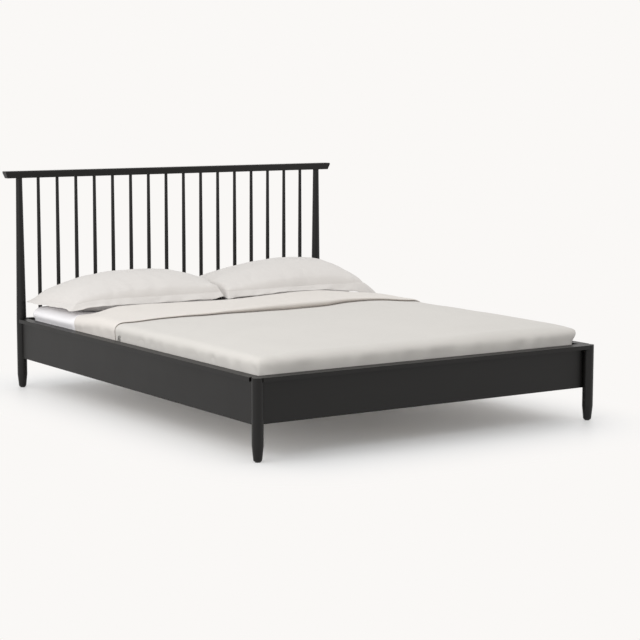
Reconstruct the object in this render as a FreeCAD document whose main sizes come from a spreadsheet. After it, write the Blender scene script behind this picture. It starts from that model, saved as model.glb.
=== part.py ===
"""Spindle bed: a made-up double bed with a tall headboard of turned spindles.

All lengths are millimetres. X runs across the bed, Y from the foot (-) to the head (+), Z up.
The origin lies on the floor under the middle of the bed's outer box.
"""
import FreeCAD, Part
import Sketcher
import math
import os
import re

Vector = FreeCAD.Vector

doc = FreeCAD.newDocument("SpindleBed")
sheet = doc.addObject("Spreadsheet::Sheet", "Sizes")

SIZES = [
    # mattress and the room that the frame leaves round it
    ("mattress_width", 1600),
    ("mattress_length", 2000),
    ("mattress_height", 200),
    ("mattress_corner_radius", 32),
    ("mattress_edge_radius", 22),
    ("side_gap", 32),
    ("end_gap", 59.5),
    # round corner posts
    ("post_diameter", 46),
    ("foot_tip_diameter", 34.5),
    ("foot_taper_height", 63),
    ("foot_edge_bevel", 4),
    ("glide_diameter", 22),
    ("glide_height", 3),
    ("post_top_diameter", 29.5),
    ("post_taper_start", 323),
    ("post_tenon_diameter", 20),
    # flat boards that lie on the panels
    ("cap_top_height", 327),
    ("cap_thickness", 17),
    ("side_cap_width", 47),
    ("foot_cap_width", 58.7),
    ("foot_cap_end_inset", 12),
    # upright panels of the frame
    ("panel_bottom_height", 141.5),
    ("panel_thickness", 22),
    ("side_panel_overhang", 7),
    ("foot_panel_setback", 12),
    # headboard
    ("lower_rail_top", 329),
    ("lower_rail_depth", 28),
    ("crest_bottom_height", 989.5),
    ("crest_height", 32.5),
    ("crest_lip", 8),
    ("crest_overhang", 74),
    ("crest_end_bevel", 10),
    ("crest_depth", 40),
    ("crest_bottom_depth", 31),
    ("crest_edge_round", 2),
    ("spindle_count", 16),
    ("spindle_diameter", 18.2),
    ("spindle_top_diameter", 14.8),
    ("spindle_taper_start", 640),
    ("spindle_tenon_diameter", 10),
    ("tenon_length", 16),
    # slatted base
    ("slat_count", 14),
    ("slat_width", 70),
    ("slat_thickness", 18),
    ("slat_top_height", 193),
    ("slat_end_gap", 2),
    ("slat_end_margin", 30),
    ("ledger_width", 30),
    ("ledger_height", 33),
    ("ledger_end_gap", 70),
    ("beam_width", 70),
    ("centre_leg_diameter", 40),
    ("front_leg_place", -180),
    ("rear_leg_place", 480),
    # fittings
    ("bracket_leg", 50),
    ("bracket_thickness", 4),
    ("bracket_height", 100),
    ("bracket_lift", 20),
    ("beam_angle_leg", 30),
    ("screw_shank", 4),
    ("screw_head", 8),
    ("screw_head_height", 3),
    ("screw_bite", 15),
    ("screw_edge", 10),
    ("ledger_screw_count", 6),
    ("dowel_diameter", 10),
    ("dowel_length", 50),
    ("dowel_in_post", 18),
    ("dowel_edge", 25),
    ("dowel_step", 20),
    # clearances
    ("wood_fit", 0.2),
    ("hole_fit", 0.1),
    ("socket_depth_fit", 1),
    ("soft_gap", 0.4),
    # duvet
    ("duvet_thickness", 24),
    ("duvet_tuck", 27),
    ("duvet_head_setback", 504.5),
    ("duvet_band_width", 436),
    ("duvet_band_thickness", 13),
    ("duvet_crown", 5),
    ("duvet_shoulder", 46),
    # pillows
    ("pillow_overhang", 22.4),
    ("pillow_depth", 462),
    ("pillow_back_gap", 14.3),
    ("pillow_height", 168),
    ("pillow_seam", 5),
    ("pillow_seam_lift", 40),
    ("pillow_flat_share", 0.55),
    ("pillow_corner_pull", 12),
    ("pillow_roundness", 0.6),
    ("pillow_tip_share", 0.04),
]

for row, (alias, number) in enumerate(SIZES, start=1):
    sheet.set("A%d" % row, alias)
    sheet.set("B%d" % row, str(number))
    sheet.setAlias("B%d" % row, alias)
doc.recompute()

# Places that many pieces share, as formulas over the sheet.
POST_X = "(mattress_width / 2 + side_gap)"
FOOT_Y = "(side_cap_width / 4 - post_diameter / 4 - mattress_length / 2 - end_gap)"
HEAD_Y = "(side_cap_width / 4 - post_diameter / 4 + mattress_length / 2 + end_gap)"
MIDDLE_Y = "(side_cap_width / 4 - post_diameter / 4)"
NOTCH = "(side_cap_width / 2)"
PANEL_TOP = "(cap_top_height - cap_thickness)"
SIDE_INNER = "(%s + side_panel_overhang - panel_thickness)" % POST_X
FOOT_OUTER = "(%s + foot_panel_setback)" % FOOT_Y
FOOT_INNER = "(%s + foot_panel_setback + panel_thickness)" % FOOT_Y
RAIL_FRONT = "(%s - lower_rail_depth / 2)" % HEAD_Y
SLAT_BOTTOM = "(slat_top_height - slat_thickness)"
CREST_TOP = "(crest_bottom_height + crest_height)"
SPINDLE_START = "(lower_rail_top - tenon_length)"
SOCKET = "spindle_tenon_diameter + 2 * hole_fit"
SOCKET_LENGTH = "tenon_length + 2 * socket_depth_fit"
SIDES = (("left", "-1"), ("right", "1"))

X_AXIS = Vector(1, 0, 0)
Y_AXIS = Vector(0, 1, 0)
Z_AXIS = Vector(0, 0, 1)

CLOSE = 0.01  # two places nearer than this count as one
DRAFT = 10.0  # a sketch dimension before its formula is set
HALF_STATIONS = 8  # cross-sections on each side of a pillow's middle

pieces = []


def size(alias):
    """The number that the sheet holds for one alias."""
    return float(sheet.get(alias))


def bound(text):
    """A formula with each size's alias written as the sheet's own cell."""
    return re.sub(r"[a-z]\w+", lambda word: "Sizes." + word.group(0), str(text))


def bind(item, **formulas):
    for name, text in formulas.items():
        item.setExpression(name, bound(text))
    return item


def place(item, x, y, z):
    for name, text in (("x", x), ("y", y), ("z", z)):
        item.setExpression("Placement.Base." + name, bound(text))
    return item


def keep(item, label):
    """Mark an object as a finished piece under its own name."""
    item.Label = label
    pieces.append(item)
    return item


def block(name, x, y, z):
    """A box between two formulas along each axis."""
    item = doc.addObject("Part::Box", name)
    bind(item, Length="(%s) - (%s)" % (x[1], x[0]), Width="(%s) - (%s)" % (y[1], y[0]),
         Height="(%s) - (%s)" % (z[1], z[0]))
    return place(item, x[0], y[0], z[0])


def rod(name, along, start, diameter, length):
    """A round bar that starts at a point and runs along a direction."""
    item = doc.addObject("Part::Cylinder", name)
    bind(item, Radius="(%s) / 2" % diameter, Height=length)
    item.Placement = FreeCAD.Placement(Vector(), FreeCAD.Rotation(Z_AXIS, along))
    return place(item, *start)


def cut(name, base, tools):
    """The base with every tool's space taken away."""
    spaces = doc.addObject("Part::Compound", name + "_tools")
    spaces.Links = tools
    item = doc.addObject("Part::Cut", name)
    item.Base = base
    item.Tool = spaces
    return item


def joined(name, parts):
    item = doc.addObject("Part::MultiFuse", name)
    item.Shapes = parts
    item.Refine = True
    return item


def group(name, parts):
    """Identical fittings that share a node as separate solids."""
    item = doc.addObject("Part::Compound", name)
    item.Links = parts
    return keep(item, name)


def turned(name, outline, x, y):
    """A body turned on a lathe: radius and height of each corner, from the floor up."""
    body = doc.addObject("PartDesign::Body", name)
    upright = [plane for plane in body.Origin.OriginFeatures if plane.Role == "XZ_Plane"][0]
    sketch = body.newObject("Sketcher::SketchObject", name + "_outline")
    sketch.AttachmentSupport = [(upright, "")]
    sketch.MapMode = "FlatFace"
    corners = [("0", outline[0][1])] + outline + [("0", outline[-1][1])]
    count = len(corners)
    for index in range(count):
        start = Vector(index % 2 + 1, index, 0)
        end = Vector((index + 1) % 2 + 1, index + 1, 0)
        sketch.addGeometry(Part.LineSegment(start, end), False)
    for index in range(count):
        sketch.addConstraint(Sketcher.Constraint("Coincident", index, 2, (index + 1) % count, 1))
    for index, (radius, height) in enumerate(corners):
        if radius == "0":
            sketch.addConstraint(Sketcher.Constraint("PointOnObject", index, 1, -2))
        else:
            across = sketch.addConstraint(Sketcher.Constraint("DistanceX", -1, 1, index, 1, DRAFT))
            sketch.setExpression("Constraints[%d]" % across, bound(radius))
        upward = sketch.addConstraint(
            Sketcher.Constraint("DistanceY", -1, 1, index, 1, DRAFT * (index + 1)))
        sketch.setExpression("Constraints[%d]" % upward, bound(height))
    spin = body.newObject("PartDesign::Revolution", name + "_turning")
    spin.Profile = sketch
    spin.ReferenceAxis = (sketch, ["V_Axis"])
    spin.Angle = 360
    body.Tip = spin
    return place(body, x, y, "0")


FOOT_OUTLINE = [
    ("foot_tip_diameter / 2 - foot_edge_bevel", "glide_height"),
    ("foot_tip_diameter / 2", "glide_height + foot_edge_bevel"),
    ("post_diameter / 2", "foot_taper_height"),
]


def dowel_rods(name, extra, ends):
    """The dowels that join side panels and lower rail to the posts, grown by a clearance."""
    rods = []
    across = "dowel_diameter + 2 * (%s)" % extra
    length = "dowel_length + 2 * (%s)" % ends
    panel_middle = "(%s + side_panel_overhang - panel_thickness / 2)" % POST_X
    low = "(panel_bottom_height + dowel_edge)"
    high = "(%s - dowel_edge)" % PANEL_TOP
    for side, sign in SIDES:
        for level, height in (("low", low), ("high", high)):
            x = "%s * %s" % (sign, panel_middle)
            foot_start = "%s - dowel_in_post / 2 - (%s)" % (FOOT_Y, ends)
            head_start = "%s + dowel_in_post / 2 + (%s)" % (HEAD_Y, ends)
            rods.append(rod("%s_foot_%s_%s" % (name, side, level), Y_AXIS, (x, foot_start, height),
                            across, length))
            rods.append(rod("%s_head_%s_%s" % (name, side, level), -Y_AXIS, (x, head_start, height),
                            across, length))
        inward = X_AXIS * (1 if side == "left" else -1)
        for level, height in (("low", low + " + dowel_step"), ("high", high + " - dowel_step")):
            x = "%s * (%s + dowel_in_post / 2 + (%s))" % (sign, POST_X, ends)
            rods.append(rod("%s_rail_%s_%s" % (name, side, level), inward, (x, HEAD_Y, height),
                            across, length))
    return rods


def corner_posts():
    """Four round posts: short at the foot, tall and tapered at the head."""
    for side, sign in SIDES:
        x = "%s * %s" % (sign, POST_X)
        short = FOOT_OUTLINE + [("post_diameter / 2", "cap_top_height")]
        body = turned("foot_post_%s_turned" % side, short, x, FOOT_Y)
        sockets = dowel_rods("foot_post_%s_socket" % side, "hole_fit", "socket_depth_fit")
        keep(cut("foot_post_" + side, body, sockets), "foot_post_" + side)
        tall = FOOT_OUTLINE + [
            ("post_diameter / 2", "post_taper_start"),
            ("post_top_diameter / 2", "crest_bottom_height"),
            ("post_tenon_diameter / 2", "crest_bottom_height"),
            ("post_tenon_diameter / 2", "crest_bottom_height + tenon_length"),
        ]
        body = turned("headboard_post_%s_turned" % side, tall, x, HEAD_Y)
        sockets = dowel_rods("headboard_post_%s_socket" % side, "hole_fit", "socket_depth_fit")
        keep(cut("headboard_post_" + side, body, sockets), "headboard_post_" + side)


def post_spaces(name):
    """The room that the four posts need in the boards that meet them."""
    spaces = []
    for side, sign in SIDES:
        for end, y in (("foot", FOOT_Y), ("head", HEAD_Y)):
            start = ("%s * %s" % (sign, POST_X), y, "foot_taper_height")
            spaces.append(rod("%s_%s_%s" % (name, end, side), Z_AXIS, start,
                              "post_diameter + 2 * wood_fit", "lower_rail_top"))
    return spaces


def corner_screws(name, diameter, length, seat):
    """The screws of the four corner brackets: two into each board that a bracket holds."""
    rods = []
    low = "(panel_bottom_height + bracket_lift + screw_edge)"
    high = "(panel_bottom_height + bracket_lift + bracket_height - screw_edge)"
    reach = "(bracket_leg - screw_edge)"
    for side, sign in SIDES:
        outward = X_AXIS * (-1 if side == "left" else 1)
        for end, wall, turn in (("foot", FOOT_INNER, "1"), ("head", RAIL_FRONT, "-1")):
            away = Y_AXIS * (-1 if end == "foot" else 1)
            for level, height in (("low", low), ("high", high)):
                x = "%s * (%s - bracket_thickness - (%s))" % (sign, SIDE_INNER, seat)
                y = "%s + %s * %s" % (wall, turn, reach)
                rods.append(rod("%s_side_%s_%s_%s" % (name, end, side, level), outward,
                                (x, y, height), diameter, length))
                x = "%s * (%s - %s)" % (sign, SIDE_INNER, reach)
                y = "%s + %s * (bracket_thickness + (%s))" % (wall, turn, seat)
                rods.append(rod("%s_end_%s_%s_%s" % (name, end, side, level), away,
                                (x, y, height), diameter, length))
    return rods


def ledger_screws(name, diameter, length, seat):
    """Evenly spaced screws that hold the two ledgers to the side panels."""
    rods = []
    count = int(size("ledger_screw_count"))
    first = "(%s + ledger_end_gap + ledger_width)" % FOOT_INNER
    run = "(%s - %s - 2 * ledger_end_gap - 2 * ledger_width)" % (RAIL_FRONT, FOOT_INNER)
    height = "%s - ledger_height / 2" % SLAT_BOTTOM
    for side, sign in SIDES:
        outward = X_AXIS * (-1 if side == "left" else 1)
        x = "%s * (%s - ledger_width - (%s))" % (sign, SIDE_INNER, seat)
        for index in range(count):
            y = "%s + %s * %d / (ledger_screw_count - 1)" % (first, run, index)
            rods.append(rod("%s_%s_%d" % (name, side, index + 1), outward, (x, y, height),
                            diameter, length))
    return rods


def beam_screws(name, diameter, length, seat):
    """The screws that hold the beam's small angles to the beam and to the end boards."""
    rods = []
    height = "%s - ledger_height / 2" % SLAT_BOTTOM
    reach = "(beam_angle_leg - screw_edge)"
    for side, sign in SIDES:
        inward = X_AXIS * (1 if side == "left" else -1)
        for end, wall, turn in (("foot", FOOT_INNER, "1"), ("head", RAIL_FRONT, "-1")):
            away = Y_AXIS * (-1 if end == "foot" else 1)
            x = "%s * (beam_width / 2 + bracket_thickness + (%s))" % (sign, seat)
            y = "%s + %s * %s" % (wall, turn, reach)
            rods.append(rod("%s_beam_%s_%s" % (name, end, side), inward, (x, y, height),
                            diameter, length))
            x = "%s * (beam_width / 2 + %s)" % (sign, reach)
            y = "%s + %s * (bracket_thickness + (%s))" % (wall, turn, seat)
            rods.append(rod("%s_end_%s_%s" % (name, end, side), away, (x, y, height),
                            diameter, length))
    return rods


def screw_holes(name, pattern, through):
    """Round holes for a pattern of screws, from the head's seat to past the tip."""
    return pattern(name, "screw_shank + 2 * hole_fit",
                   "%s + screw_bite + socket_depth_fit" % through, "0")


def screw_group(name, pattern, through):
    """Screws with a flat round head on the seat and a plain shank below it."""
    heads = pattern(name + "_head", "screw_head", "screw_head_height", "screw_head_height")
    shanks = pattern(name + "_shank", "screw_shank", "%s + screw_bite" % through, "0")
    screws = []
    for index, (head, shank) in enumerate(zip(heads, shanks), start=1):
        screws.append(joined("%s_%02d" % (name, index), [head, shank]))
    group(name, screws)


def panels():
    """The upright boards: two sides scribed round the posts, and a foot between them."""
    for side, sign in SIDES:
        edges = ("%s * %s" % (sign, SIDE_INNER), "%s * (%s + side_panel_overhang)" % (sign, POST_X))
        across = edges if side == "right" else (edges[1], edges[0])
        board = block("side_panel_%s_board" % side, across, (FOOT_Y, HEAD_Y),
                      ("panel_bottom_height", PANEL_TOP))
        name = "side_panel_" + side
        tools = post_spaces(name + "_post")
        tools += dowel_rods(name + "_dowel", "hole_fit", "socket_depth_fit")
        tools += screw_holes(name + "_corner_hole", corner_screws, "bracket_thickness")
        tools += screw_holes(name + "_ledger_hole", ledger_screws, "ledger_width")
        keep(cut(name, board, tools), name)

        edges = ("%s * (%s - ledger_width)" % (sign, SIDE_INNER), "%s * %s" % (sign, SIDE_INNER))
        across = edges if side == "right" else (edges[1], edges[0])
        board = block("slat_ledger_%s_board" % side, across,
                      ("%s + ledger_end_gap" % FOOT_INNER, "%s - ledger_end_gap" % RAIL_FRONT),
                      ("%s - ledger_height" % SLAT_BOTTOM, SLAT_BOTTOM))
        name = "slat_ledger_" + side
        keep(cut(name, board, screw_holes(name + "_hole", ledger_screws, "ledger_width")), name)

    width = "(%s - wood_fit)" % SIDE_INNER
    board = block("foot_panel_board", ("-1 * " + width, width), (FOOT_OUTER, FOOT_INNER),
                  ("panel_bottom_height", PANEL_TOP))
    tools = post_spaces("foot_panel_post")
    tools += screw_holes("foot_panel_corner_hole", corner_screws, "bracket_thickness")
    tools += screw_holes("foot_panel_beam_hole", beam_screws, "bracket_thickness")
    keep(cut("foot_panel", board, tools), "foot_panel")


def caps():
    """Flat boards on the panels. Side caps stop at the posts, the foot cap is cut round them."""
    height = (PANEL_TOP, "cap_top_height")
    for side, sign in SIDES:
        edges = ("%s * (%s - %s)" % (sign, POST_X, NOTCH), "%s * (%s + %s)" % (sign, POST_X, NOTCH))
        across = edges if side == "right" else (edges[1], edges[0])
        keep(block("side_cap_" + side, across,
                   ("%s + %s" % (FOOT_Y, NOTCH), "%s - %s" % (HEAD_Y, NOTCH)), height),
             "side_cap_" + side)
    width = "(%s - %s)" % (POST_X, NOTCH)
    reach = "(%s - foot_cap_end_inset)" % POST_X
    front = "%s - %s" % (FOOT_Y, NOTCH)
    board = block("foot_cap_board", ("-1 * " + width, width), (front, front + " + foot_cap_width"),
                  height)
    lip = block("foot_cap_lip", ("-1 * " + reach, reach), (front, "%s + %s" % (FOOT_Y, NOTCH)),
                height)
    blank = joined("foot_cap_blank", [board, lip])
    keep(cut("foot_cap", blank, post_spaces("foot_cap_post")), "foot_cap")


def spindle_place(index):
    """The spindles share the width between the posts in equal steps."""
    return "%s * (2 * %d / (spindle_count + 1) - 1)" % (POST_X, index)


def spindles():
    """Turned rods with a tenon at each end. They taper towards the crest rail."""
    outline = [
        ("spindle_tenon_diameter / 2", SPINDLE_START),
        ("spindle_tenon_diameter / 2", "lower_rail_top"),
        ("spindle_diameter / 2", "lower_rail_top"),
        ("spindle_diameter / 2", "spindle_taper_start"),
        ("spindle_top_diameter / 2", "crest_bottom_height"),
        ("spindle_tenon_diameter / 2", "crest_bottom_height"),
        ("spindle_tenon_diameter / 2", "crest_bottom_height + tenon_length"),
    ]
    for index in range(1, int(size("spindle_count")) + 1):
        name = "spindle_%02d" % index
        keep(turned(name, outline, spindle_place(index), HEAD_Y), name)


def spindle_sockets(name, height):
    """A socket for every spindle, from a height upwards."""
    sockets = []
    for index in range(1, int(size("spindle_count")) + 1):
        start = (spindle_place(index), HEAD_Y, height)
        sockets.append(rod("%s_%02d" % (name, index), Z_AXIS, start, SOCKET, SOCKET_LENGTH))
    return sockets


def lower_rail():
    """The board between the tall posts. It carries the spindles and closes the frame's head."""
    board = block("headboard_lower_rail_board", ("-1 * " + POST_X, POST_X),
                  (RAIL_FRONT, "%s + lower_rail_depth / 2" % HEAD_Y),
                  ("panel_bottom_height", "lower_rail_top"))
    tools = post_spaces("headboard_lower_rail_post")
    tools += dowel_rods("headboard_lower_rail_dowel", "hole_fit", "socket_depth_fit")
    tools += screw_holes("headboard_lower_rail_corner_hole", corner_screws, "bracket_thickness")
    tools += screw_holes("headboard_lower_rail_beam_hole", beam_screws, "bracket_thickness")
    tools += spindle_sockets("lower_socket", SPINDLE_START + " - socket_depth_fit")
    keep(cut("headboard_lower_rail", board, tools), "headboard_lower_rail")


def crest_rail():
    """The long top rail: a thin upright lip with a bevel below it, on all four sides."""
    half = "(%s + crest_overhang)" % POST_X
    lip = block("crest_lip_board", ("-1 * " + half, half),
                ("%s - crest_depth / 2" % HEAD_Y, "%s + crest_depth / 2" % HEAD_Y),
                ("%s - crest_lip" % CREST_TOP, CREST_TOP))
    bevel = doc.addObject("Part::Wedge", "crest_bevel")
    bind(bevel, Ymin="0", Ymax="crest_height - crest_lip",
         Xmin="0 - (%s - crest_end_bevel)" % half, Xmax="%s - crest_end_bevel" % half,
         X2min="0 - " + half, X2max=half,
         Zmin="0 - crest_bottom_depth / 2", Zmax="crest_bottom_depth / 2",
         Z2min="0 - crest_depth / 2", Z2max="crest_depth / 2")
    bevel.Placement = FreeCAD.Placement(Vector(), FreeCAD.Rotation(X_AXIS, 90))
    place(bevel, "0", HEAD_Y, "crest_bottom_height")
    rough = joined("crest_rail_blank", [lip, bevel])
    doc.recompute()
    top = rough.Shape.BoundBox.ZMax
    round_over = size("crest_edge_round")
    chosen = []
    for number, edge in enumerate(rough.Shape.Edges, start=1):
        if all(abs(vertex.Z - top) < CLOSE for vertex in edge.Vertexes):
            chosen.append((number, round_over, round_over))
    eased = doc.addObject("Part::Fillet", "crest_rail_eased")
    eased.Base = rough
    eased.Edges = chosen
    start_height = "crest_bottom_height - socket_depth_fit"
    sockets = spindle_sockets("crest_socket", start_height)
    for side, sign in SIDES:
        start = ("%s * %s" % (sign, POST_X), HEAD_Y, start_height)
        sockets.append(rod("crest_post_socket_" + side, Z_AXIS, start,
                           "post_tenon_diameter + 2 * hole_fit", SOCKET_LENGTH))
    keep(cut("crest_rail", eased, sockets), "crest_rail")


def slatted_base():
    """Loose slats on the ledgers and on a beam with two legs of its own."""
    count = int(size("slat_count"))
    half = "(%s - slat_end_gap)" % SIDE_INNER
    first = "(%s - mattress_length / 2 + slat_end_margin)" % MIDDLE_Y
    step = "((mattress_length - 2 * slat_end_margin - slat_width) / (slat_count - 1))"
    for index in range(count):
        start = "%s + %s * %d" % (first, step, index)
        name = "slat_%02d" % (index + 1)
        keep(block(name, ("-1 * " + half, half), (start, start + " + slat_width"),
                   (SLAT_BOTTOM, "slat_top_height")), name)

    board = block("centre_beam_board", ("-1 * beam_width / 2", "beam_width / 2"),
                  (FOOT_INNER, RAIL_FRONT), ("%s - ledger_height" % SLAT_BOTTOM, SLAT_BOTTOM))
    holes = screw_holes("centre_beam_hole", beam_screws, "bracket_thickness")
    keep(cut("centre_beam", board, holes), "centre_beam")
    for name, y in (("centre_leg_front", "front_leg_place"), ("centre_leg_rear", "rear_leg_place")):
        keep(rod(name, Z_AXIS, ("0", y, "glide_height"), "centre_leg_diameter",
                 "%s - ledger_height - glide_height" % SLAT_BOTTOM), name)


def angle(name, x, y, height, sign_x, sign_y, leg):
    """An upright steel angle with its outer corner at a point and its legs along two signs."""
    def span(origin, sign, reach):
        far = "%s + %s * %s" % (origin, sign, reach)
        return (origin, far) if sign == "1" else (far, origin)

    along_x = block(name + "_x", span(x, sign_x, leg), span(y, sign_y, "bracket_thickness"), height)
    along_y = block(name + "_y", span(x, sign_x, "bracket_thickness"), span(y, sign_y, leg), height)
    return joined(name + "_blank", [along_x, along_y])


def brackets():
    """Steel angles in the four inner corners and beside the beam's two ends."""
    corner = ("panel_bottom_height + bracket_lift",
              "panel_bottom_height + bracket_lift + bracket_height")
    middle = ("%s - ledger_height" % SLAT_BOTTOM, SLAT_BOTTOM)
    ends = (("foot", FOOT_INNER, "1"), ("head", RAIL_FRONT, "-1"))
    corners = []
    beside_beam = []
    for side, sign in SIDES:
        inward = "1" if side == "left" else "-1"
        for end, wall, turn in ends:
            name = "corner_bracket_%s_%s" % (end, side)
            blank = angle(name, "%s * %s" % (sign, SIDE_INNER), wall, corner, inward, turn,
                          "bracket_leg")
            tools = post_spaces(name + "_post")
            tools += screw_holes(name + "_hole", corner_screws, "bracket_thickness")
            corners.append(cut(name, blank, tools))
            name = "beam_angle_%s_%s" % (end, side)
            blank = angle(name, "%s * beam_width / 2" % sign, wall, middle, sign, turn,
                          "beam_angle_leg")
            tools = screw_holes(name + "_hole", beam_screws, "bracket_thickness")
            beside_beam.append(cut(name, blank, tools))
    group("corner_brackets", corners)
    group("beam_angles", beside_beam)
    screw_group("corner_screws", corner_screws, "bracket_thickness")
    screw_group("beam_screws", beam_screws, "bracket_thickness")
    screw_group("ledger_screws", ledger_screws, "ledger_width")
    group("joint_dowels", dowel_rods("joint_dowel", "0", "0"))


def glides():
    """A low round glide under each post and each centre leg."""
    discs = []
    for side, sign in SIDES:
        for end, y in (("foot", FOOT_Y), ("head", HEAD_Y)):
            discs.append(rod("glide_%s_%s" % (end, side), Z_AXIS,
                             ("%s * %s" % (sign, POST_X), y, "0"), "glide_diameter",
                             "glide_height"))
    for name, y in (("glide_front", "front_leg_place"), ("glide_rear", "rear_leg_place")):
        discs.append(rod(name, Z_AXIS, ("0", y, "0"), "glide_diameter", "glide_height"))
    group("floor_glides", discs)


def fixed_shape(name, shape):
    """A finished soft piece whose outline is worked out from the sheet."""
    item = doc.addObject("Part::Feature", name)
    item.Shape = shape
    item.Placement = FreeCAD.Placement()
    return keep(item, name)


def middle_y():
    """Where the mattress's middle lies, with the origin under the middle of the outer box."""
    return (size("side_cap_width") - size("post_diameter")) / 4


def rounded_block(low, high, corner_radius, edge_radius):
    """A box with round upright corners and softened top and bottom edges."""
    solid = Part.makeBox(high.x - low.x, high.y - low.y, high.z - low.z, low)
    upright = [edge for edge in solid.Edges
               if abs(edge.Vertexes[0].Z - edge.Vertexes[1].Z) > high.z - low.z - CLOSE]
    solid = solid.makeFillet(corner_radius, upright)
    flat = [edge for edge in solid.Edges
            if all(abs(vertex.Z - edge.Vertexes[0].Z) < CLOSE for vertex in edge.Vertexes)]
    return solid.makeFillet(edge_radius, flat)


def mattress():
    half_x = size("mattress_width") / 2
    half_y = size("mattress_length") / 2
    low = Vector(-half_x, middle_y() - half_y, size("slat_top_height"))
    high = Vector(half_x, middle_y() + half_y, size("slat_top_height") + size("mattress_height"))
    fixed_shape("mattress", rounded_block(low, high, size("mattress_corner_radius"),
                                          size("mattress_edge_radius")))


def arched(low, high, bottom, top, shoulder, crown, point):
    """A closed outline: upright sides, an arc over each shoulder and a shallow arc on top.

    point turns a place across the outline and a height into a place in space.
    """
    slope = shoulder * (1 - math.sqrt(0.5))
    middle = (low + high) / 2
    edges = [
        Part.LineSegment(point(low, bottom), point(low, top - shoulder)),
        Part.Arc(point(low, top - shoulder), point(low + slope, top - slope),
                 point(low + shoulder, top)),
        Part.Arc(point(low + shoulder, top), point(middle, top + crown),
                 point(high - shoulder, top)),
        Part.Arc(point(high - shoulder, top), point(high - slope, top - slope),
                 point(high, top - shoulder)),
        Part.LineSegment(point(high, top - shoulder), point(high, bottom)),
        Part.LineSegment(point(high, bottom), point(low, bottom)),
    ]
    return Part.Face(Part.Wire([edge.toShape() for edge in edges]))


def quilted_layer(half_x, foot, head, bottom, top, head_shoulder):
    """A soft layer: one arched outline across the bed met by another along it."""
    shoulder = size("duvet_shoulder")
    crown = size("duvet_crown")
    length = head - foot
    across = arched(-half_x, half_x, bottom, top, shoulder, crown,
                    lambda x, z: Vector(x, foot, z)).extrude(Vector(0, length, 0))
    bed_long = arched(foot, head, bottom, top, head_shoulder, crown,
                      lambda y, z: Vector(-half_x, y, z)).extrude(Vector(2 * half_x, 0, 0))
    return across.common(bed_long)


def duvet():
    """A quilt tucked down inside the caps, its head end turned back in a second layer."""
    gap = size("soft_gap")
    middle = middle_y()
    half_x = size("mattress_width") / 2 + size("side_gap") - size("side_cap_width") / 2 - gap
    foot_axis = middle - size("mattress_length") / 2 - size("end_gap")
    foot = foot_axis - size("side_cap_width") / 2 + size("foot_cap_width") + gap
    head = middle + size("mattress_length") / 2 + size("end_gap") - size("duvet_head_setback")
    hem = head - size("duvet_band_width")
    bottom = size("cap_top_height") - size("duvet_tuck")
    mattress_top = size("slat_top_height") + size("mattress_height")
    top = mattress_top + size("duvet_thickness") - size("duvet_crown")
    band_top = top + size("duvet_band_thickness")
    shoulder = size("duvet_shoulder")

    lower = quilted_layer(half_x, foot, head, bottom, top, shoulder)
    fold = size("duvet_thickness")
    upper = quilted_layer(half_x, hem - size("duvet_band_thickness"), head, bottom, band_top, fold)
    far_side = Part.makeBox(4 * half_x, head - hem + shoulder, 2 * band_top,
                            Vector(-2 * half_x, hem, 0))
    body = lower.fuse(upper.common(far_side))

    half_y = size("mattress_length") / 2
    low = Vector(-size("mattress_width") / 2 - gap, middle - half_y - gap, size("slat_top_height"))
    high = Vector(size("mattress_width") / 2 + gap, middle + half_y + gap, mattress_top + gap)
    core = rounded_block(low, high, size("mattress_corner_radius"), size("mattress_edge_radius"))
    fixed_shape("duvet", body.cut(core).removeSplitter())


def pillow_section(x, middle, half_depth, seam_low, seam_high, bottom, top):
    """Across the pillow: an arc over the top, a narrow upright seam, and a flat resting face."""
    front = middle - half_depth
    rear = middle + half_depth
    flat = half_depth * size("pillow_flat_share")
    turn = (flat + half_depth) / 2
    sag = bottom + (seam_low - bottom) / 4
    edges = [
        Part.LineSegment(Vector(x, front, seam_low), Vector(x, front, seam_high)),
        Part.Arc(Vector(x, front, seam_high), Vector(x, middle, top), Vector(x, rear, seam_high)),
        Part.LineSegment(Vector(x, rear, seam_high), Vector(x, rear, seam_low)),
        Part.Arc(Vector(x, rear, seam_low), Vector(x, middle + turn, sag),
                 Vector(x, middle + flat, bottom)),
        Part.LineSegment(Vector(x, middle + flat, bottom), Vector(x, middle - flat, bottom)),
        Part.Arc(Vector(x, middle - flat, bottom), Vector(x, middle - turn, sag),
                 Vector(x, front, seam_low)),
    ]
    return Part.Wire([edge.toShape() for edge in edges])


def pillow(side, direction):
    """A plump pillow: high in the middle, drawn in between its four corners."""
    gap = size("soft_gap")
    half = (size("mattress_width") / 2 + size("pillow_overhang") - gap) / 2
    rest = size("slat_top_height") + size("mattress_height") + gap
    seam = rest + size("pillow_seam_lift")
    edge = size("pillow_seam")
    rise = size("pillow_height") + rest - seam - edge
    centre = direction * (half + gap)
    head_axis = middle_y() + size("mattress_length") / 2 + size("end_gap")
    deep = size("pillow_depth") / 2
    middle = head_axis - size("lower_rail_depth") / 2 - size("pillow_back_gap") - deep
    pull = size("pillow_corner_pull")
    sections = []
    for index in range(-HALF_STATIONS, HALF_STATIONS + 1):
        share = index / HALF_STATIONS
        swell = max(0, math.cos(share * math.pi / 2)) ** size("pillow_roundness")
        bulge = max(swell, size("pillow_tip_share"))
        waist = deep - pull * (1 - share * share)
        sections.append(pillow_section(centre + share * half, middle, waist, seam, seam + edge,
                                       seam - bulge * size("pillow_seam_lift"),
                                       seam + edge + bulge * rise))
    fixed_shape("pillow_" + side, Part.makeLoft(sections, True, False))


corner_posts()
panels()
caps()
spindles()
lower_rail()
crest_rail()
slatted_base()
brackets()
glides()
mattress()
duvet()
pillow("left", -1)
pillow("right", 1)
doc.recompute()

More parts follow.
